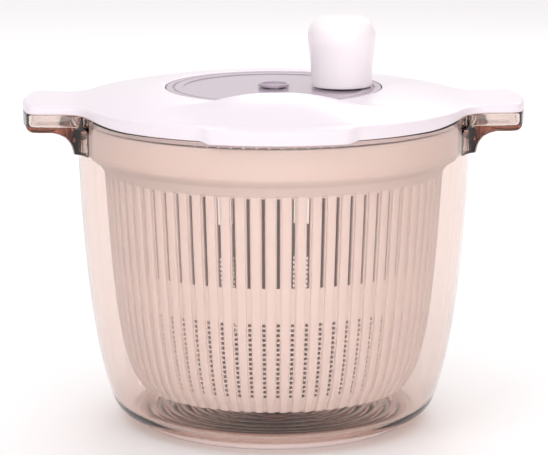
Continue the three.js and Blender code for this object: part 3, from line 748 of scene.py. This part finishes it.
def slot_faces(a, b, c, d, j, k, starts, ends):
    """Sides of a slot between columns j and k, and its end faces where it starts or ends."""
    faces = [(a + j, b + j, d + j, c + j), (a + k, c + k, d + k, b + k)]
    if starts:
        faces.append((a + j, c + j, c + k, a + k))
    if ends:
        faces.append((b + j, b + k, d + k, d + j))
    return faces


def basket_faces(rows, outer, inner, count):
    faces = []
    for i in range(len(rows) - 1):
        gaps = rows[i][5]
        starts = i == 0 or rows[i - 1][5] != gaps
        ends = rows[i + 1][5] != gaps
        rings = (outer[i], outer[i + 1], inner[i], inner[i + 1])
        for j in range(count):
            k = (j + 1) % count
            rib, column = divmod(j, len(SECTION))
            cut = column == len(SECTION) - 1 and (gaps == EVERY_GAP or (gaps == OTHER_GAPS and rib % 2 == 0))
            faces += slot_faces(*rings, j, k, starts, ends) if cut else panel_faces(*rings, j, k)
    for j in range(count):
        k = (j + 1) % count
        faces.append((outer[0] + j, inner[0] + j, inner[0] + k, outer[0] + k))
    return faces


def make_basket():
    rows = collar_rows() + shoulder_rows() + wall_rows() + floor_rows() + hub_rows()
    verts, outer, inner = basket_points(rows)
    count = RIBS * len(SECTION)
    faces = basket_faces(rows, outer, inner, count)
    for last, z, flip in ((outer[-1], rows[-1][1], False), (inner[-1], rows[-1][3], True)):
        tip = len(verts)
        verts.append((0.0, 0.0, z))
        for j in range(count):
            k = (j + 1) % count
            faces.append((last + k, last + j, tip) if flip else (last + j, last + k, tip))
    basket = mesh_object("basket_body", verts, faces, BASKET_WHITE, 38)
    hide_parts("basket")
    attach(basket, "basket")


# ---------------------------------------------------------------- lid

WELL_OUTER = WELL_R + LID_WALL
LIP_SHARE = 1 - smoothstep(LIP_HALF - 3.0, LIP_HALF, FRONT)
LID_LOW_Z = RIM_TOP + GAP  # face that rests over the rim
LID_SKIRT_LOW = COLLAR_TOP + 1
LID_BORE = 7.2


def hood(r):
    """Height added by the hood over the front of the lid, over THETA at a radius."""
    crest = WELL_OUTER + HOOD_CREST
    edge = WELL_OUTER - 0.4
    r = np.broadcast_to(np.asarray(r, float), THETA.shape)
    flat = np.hypot(np.cos(THETA) * HOOD_FLATNESS, np.sin(THETA))
    rise = smoothstep(edge, crest, r * flat) ** HOOD_RISE_POWER
    fall = 1 - np.clip((r * flat - crest) / ((RIM_R + 1) * flat - crest), 0, 1) ** HOOD_FALL_POWER
    across = np.exp(-np.abs(r * np.cos(THETA) / HOOD_HALF) ** HOOD_SIDE_POWER)
    return HOOD_RISE * rise * fall * across * (np.sin(THETA) < 0)


def dome(share):
    """Height of the lid's top at a share of the way from the well to the rim."""
    return LID_EDGE + (CROWN - LID_EDGE) * (1 - share ** DOME_POWER)


def dome_radius(share):
    return WELL_OUTER + (RIM_R - WELL_OUTER) * share


def lid_reach(distance=0.0):
    """Radius of the lid's outside over THETA, with the lip, drawn in by a distance."""
    return reach(distance) + LIP * LIP_SHARE


def brim(r):
    """Height of the lid's top beyond the dome: level to the rim, then a slight lift on the ears."""
    lift = 0.9 * smoothstep(RIM_R + 8, EAR_END, r)
    extra = dome(DOME_END) - LID_EDGE
    return LID_EDGE - 0.1 + extra * np.exp(-((r - dome_radius(DOME_END)) / 3.0)) + lift + hood(r)


def lid_top():
    """Wall of the well, the dome with the hood, and the brim."""
    rings = [(WELL_R, WELL_FLOOR), (WELL_R, CROWN - 0.5)]
    rings += [(WELL_R + 0.15, CROWN - 0.15), (WELL_R + 0.5, CROWN)]
    for share in np.concatenate([np.linspace(0.0, 0.34, 14), np.linspace(0.37, DOME_END, 16)]):
        r = dome_radius(share)
        rings.append((r, dome(share) + hood(r)))
    for share in np.linspace(0.12, 1, 8):
        r = lerp(dome_radius(DOME_END), lid_reach(TOP_ROUND), share)
        rings.append((r, brim(r)))
    return rings


def lid_edge():
    """Rounded edge, outer band and the lip's lower edge."""
    low = LID_LOW_Z - LIP_DROP * LIP_SHARE
    top = brim(lid_reach(TOP_ROUND))
    rings = []
    for angle in np.radians([18, 36, 54, 72, 90]):
        rings.append((lid_reach(TOP_ROUND * (1 - np.sin(angle))), top - TOP_ROUND * (1 - np.cos(angle))))
    rings += [(lid_reach(), lerp(top - TOP_ROUND, low + 0.5, 0.5)), (lid_reach(), low + 0.5)]
    return rings + [(lid_reach(0.15), low + 0.15), (lid_reach(0.5), low), (lid_reach(LID_WALL), low)]


def lid_under():
    """Hollow ears, the face over the rim, the skirt inside it, the dome's underside and the well's floor."""
    ear = smoothstep(0.8, 2.2, reach(LID_WALL) - RIM_R)
    ceiling = lerp(LID_LOW_Z, LID_EDGE - LID_WALL, ear)
    rings = [
        (lid_reach(LID_WALL + 0.2), ceiling),
        (lerp(lid_reach(LID_WALL + 0.5), RIM_R + 0.5, ear), ceiling),
        (lerp(lid_reach(LID_WALL + 0.9), RIM_R - 0.2, ear), LID_LOW_Z),
    ]
    skirt_r = RIM_R - BOWL_WALL - 1
    rings += [(skirt_r, LID_LOW_Z), (skirt_r, LID_SKIRT_LOW + 0.4), (skirt_r - 0.4, LID_SKIRT_LOW),
              (skirt_r - LID_WALL + 0.3, LID_SKIRT_LOW), (skirt_r - LID_WALL, LID_SKIRT_LOW + 0.4),
              (skirt_r - LID_WALL, LID_EDGE - LID_WALL - 1.5)]
    thickness = LID_WALL + 0.3
    for share in np.linspace(0.86, 0.0, 22):
        r = dome_radius(share)
        rings.append((r, dome(share) - thickness + hood(r)))
    floor = WELL_FLOOR - LID_WALL
    return rings + [(WELL_OUTER, floor + 0.5), (WELL_OUTER - 0.5, floor), (LID_BORE + 5, floor),
                    (LID_BORE, floor), (LID_BORE, WELL_FLOOR), (WELL_R - 0.6, WELL_FLOOR)]


def make_lid():
    lid = stack("lid_cover", THETA, lid_top() + lid_edge() + lid_under(), LID_WHITE, closed=True, sharp=40)
    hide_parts("lid_shell")
    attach(lid, "lid")


# ---------------------------------------------------------------- crank disc and knob

DISC_BORE = 4.7
CAP_SEAT = 6.7  # radius of the recess that the cap sits in
CAP_SEAT_RISE = 1.5  # recess's floor above the disc's underside
GROOVE_R = DISC_R - 4.1
INSET_R = DISC_R - 9.6  # middle of the disc is a little lower than its rim
INSET_DROP = 0.5
KNOB_BORE = 6.1


def make_disc():
    low = DISC_LOW[2]
    top = DISC_TOP
    seat = low + CAP_SEAT_RISE
    middle = top - INSET_DROP
    outline = [(DISC_BORE, low), (DISC_R - 0.4, low), (DISC_R, low + 0.4)]
    outline += arc(DISC_R - 0.7, top - 0.7, 0.7, 0, 90, 5)
    outline += [(GROOVE_R + 0.7, top), (GROOVE_R + 0.45, top - 0.25), (GROOVE_R + 0.3, top - 0.8),
                (GROOVE_R - 0.3, top - 0.8), (GROOVE_R - 0.45, top - 0.25), (GROOVE_R - 0.7, top),
                (INSET_R + 0.4, top), (INSET_R + 0.1, top - 0.1), (INSET_R, top - 0.45),
                (INSET_R - 0.5, middle), (CAP_SEAT + 0.8, middle), (CAP_SEAT, middle),
                (CAP_SEAT, seat), (DISC_BORE, seat)]
    disc = revolve("crank_plate", outline, SMOKY, 192)
    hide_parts("crank_disc")
    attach(disc, "crank")


def make_cap():
    """Cap with a raised ring round a shallow dish."""
    low, high, outer = CAP_LOW[2], CAP_HIGH[2], CAP_HIGH[0]
    outline = [(0, low), (outer - 0.2, low), (outer, low + 0.2)]
    outline += arc(outer - 0.8, high - 0.7, 0.7, 0, 180, 8)
    outline += [(outer - 1.8, low + 0.5), (3, low + 0.6), (0, low + 0.6)]
    cap = revolve("centre_button", outline, SMOKY, 96, closed=False)
    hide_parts("centre_cap")
    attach(cap, "crank")


def make_knob():
    """Grip that widens upwards to a domed top, over a bore for its spindle."""
    centre = ((KNOB_LOW[0] + KNOB_HIGH[0]) / 2, (KNOB_LOW[1] + KNOB_HIGH[1]) / 2)
    low, top = KNOB_LOW[2], KNOB_HIGH[2]
    widest = (KNOB_HIGH[0] - KNOB_LOW[0]) / 2
    base = widest - 1.8
    height = top - low
    bore_top = low + height * 0.62
    outline = [(KNOB_BORE, low), (base - 0.8, low), (base - 0.2, low + 0.2), (base, low + 0.8)]
    outline += bezier([
        (base, low + 1.5), (base - 0.1, low + height * 0.3), (widest, low + height * 0.66)], 16)
    outline += bezier([(widest, low + height * 0.67), (widest + 0.3, low + height * 0.9),
                       (widest - 3.6, top - 0.3), (widest - 9.5, top - 0.1)], 16)[1:]
    outline += [(5, top), (0, top), (0, bore_top), (KNOB_BORE, bore_top)]
    knob = revolve("grip_knob", outline, KNOB_WHITE, 96, centre)
    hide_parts("knob")
    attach(knob, "knob")


# ---------------------------------------------------------------- carried-over nodes


def finish_nodes():
    """Materials for the nodes that no piece above replaces."""
    finishes = {"acetal": ACETAL, "steel": STEEL, "lid_white": LID_WHITE}
    replaced = {"outer_bowl", "base_ring", "pivot_bush", "basket", "lid_shell",
                "crank_disc", "centre_cap", "knob"}
    for part in frame["record"]["subparts"]:
        if part["node"] in replaced:
            continue
        node = frame["nodes"][part["node"]]
        node.data.materials.clear()
        node.data.materials.append(finishes[part["material_slot"]])


make_outer_bowl()
make_base_ring()
make_bush()
make_basket()
make_lid()
make_disc()
make_cap()
make_knob()
finish_nodes()

# ---------------------------------------------------------------- floor, light and camera, in metres

FLOOR_HALF = 3.0
FLOOR_COLOUR = (0.98, 0.975, 0.975)
LIGHT_AIM = (0, 0, 0.1)
SKY_COLOUR = (1.0, 0.98, 1.0)
FLANK_TOP = (0.25, 0.7)  # upward direction at which the flanks begin and end their fade to the sky
FLANKS = [  # studio round the horizon, from the left side to the right side
    (0.0, (0.30, 0.29, 0.22)),
    (0.1, (0.36, 0.33, 0.29)),
    (0.2, (0.92, 0.9, 0.9)),
    (0.8, (0.92, 0.88, 0.87)),
    (0.9, (0.42, 0.33, 0.28)),
    (1.0, (0.40, 0.27, 0.2)),
]
MIX_A, MIX_B, MIX_RESULT = 6, 7, 2  # colour sockets of a Mix node
CAMERA_DISTANCE = 1.5
CAMERA_ELEVATION = 11.55  # degrees above level
CAMERA_AZIMUTH = -1.6  # degrees to the right of the front
CAMERA_AIM = (0.0002, 0.0, 0.1072)
CAMERA_LENS = 176
BOUNCES = 24  # enough for light to cross the bowl's walls several times


def make_floor():
    half = FLOOR_HALF
    mesh = bpy.data.meshes.new("floor")
    corners = [(-half, -half, 0), (half, -half, 0), (half, half, 0), (-half, half, 0)]
    mesh.from_pydata(corners, [], [(0, 1, 2, 3)])
    floor = bpy.data.objects.new("floor", mesh)
    bpy.context.scene.collection.objects.link(floor)
    material, shader = new_material("floor", Roughness=0.6)
    shader.inputs["Base Color"].default_value = (*FLOOR_COLOUR, 1)
    floor.data.materials.append(material)


def area_light(name, place, size, power, colour=(1, 1, 1)):
    light = bpy.data.lights.new(name, "AREA")
    light.shape = "RECTANGLE"
    light.size, light.size_y = size
    light.energy = power
    light.color = colour
    obj = bpy.data.objects.new(name, light)
    obj.location = place
    aim = Vector(LIGHT_AIM) - Vector(place)
    obj.rotation_euler = aim.to_track_quat("-Z", "Y").to_euler()
    bpy.context.scene.collection.objects.link(obj)


def make_light():
    area_light("key", (-0.8, -0.9, 1.3), (0.8, 0.8), 4.5, (1.0, 0.97, 1.0))
    area_light("front", (0.35, -1.95, 0.45), (2.2, 0.8), 10.5, (1.0, 0.97, 0.96))
    area_light("back", (0.4, 1.2, 1.0), (1.2, 0.6), 5.5)


def add_flanks(nodes, links, level):
    """Colour that changes with a level running from -1 on the left to 1 on the right."""
    across = nodes.new("ShaderNodeMapRange")
    across.inputs["From Min"].default_value = -1
    across.inputs["From Max"].default_value = 1
    links.new(level, across.inputs["Value"])
    flanks = nodes.new("ShaderNodeValToRGB")
    ramp = flanks.color_ramp
    ramp.elements[0].position, ramp.elements[1].position = FLANKS[0][0], FLANKS[-1][0]
    for position, _ in FLANKS[1:-1]:
        ramp.elements.new(position)
    for element, (position, colour) in zip(ramp.elements, FLANKS):
        element.position = position
        element.color = (*colour, 1)
    links.new(across.outputs["Result"], flanks.inputs["Fac"])
    return flanks.outputs["Color"]


def make_world():
    """Pale studio, with soft warm grey flanks for the clear bowl to bend into its walls."""
    world = bpy.data.worlds.new("studio")
    world.use_nodes = True
    nodes = world.node_tree.nodes
    links = world.node_tree.links
    background = nodes["Background"]
    background.inputs["Strength"].default_value = 1.0
    place = nodes.new("ShaderNodeTexCoord")
    axes = nodes.new("ShaderNodeSeparateXYZ")
    links.new(place.outputs["Generated"], axes.inputs["Vector"])
    height = nodes.new("ShaderNodeMapRange")
    height.interpolation_type = "SMOOTHSTEP"
    height.inputs["From Min"].default_value = FLANK_TOP[0]
    height.inputs["From Max"].default_value = FLANK_TOP[1]
    links.new(axes.outputs["Z"], height.inputs["Value"])
    mix = nodes.new("ShaderNodeMix")
    mix.data_type = "RGBA"
    links.new(height.outputs["Result"], mix.inputs["Factor"])
    links.new(add_flanks(nodes, links, axes.outputs["X"]), mix.inputs[MIX_A])
    mix.inputs[MIX_B].default_value = (*SKY_COLOUR, 1)
    links.new(mix.outputs[MIX_RESULT], background.inputs["Color"])
    bpy.context.scene.world = world


def make_camera():
    elevation = radians(CAMERA_ELEVATION)
    azimuth = radians(CAMERA_AZIMUTH)
    level = np.cos(elevation)
    back = Vector((np.sin(azimuth) * level, -np.cos(azimuth) * level, np.sin(elevation)))
    camera = bpy.data.cameras.new("camera")
    camera.sensor_width = 36
    camera.lens = CAMERA_LENS
    obj = bpy.data.objects.new("camera", camera)
    obj.location = Vector(CAMERA_AIM) + back * CAMERA_DISTANCE
    obj.rotation_euler = (-back).to_track_quat("-Z", "Y").to_euler()
    bpy.context.scene.collection.objects.link(obj)
    bpy.context.scene.camera = obj


def set_scene():
    scene = bpy.context.scene
    scene.view_settings.view_transform = "Standard"
    scene.cycles.max_bounces = BOUNCES
    scene.cycles.transmission_bounces = BOUNCES
    scene.cycles.transparent_max_bounces = BOUNCES


make_floor()
make_world()
make_light()
make_camera()
set_scene()
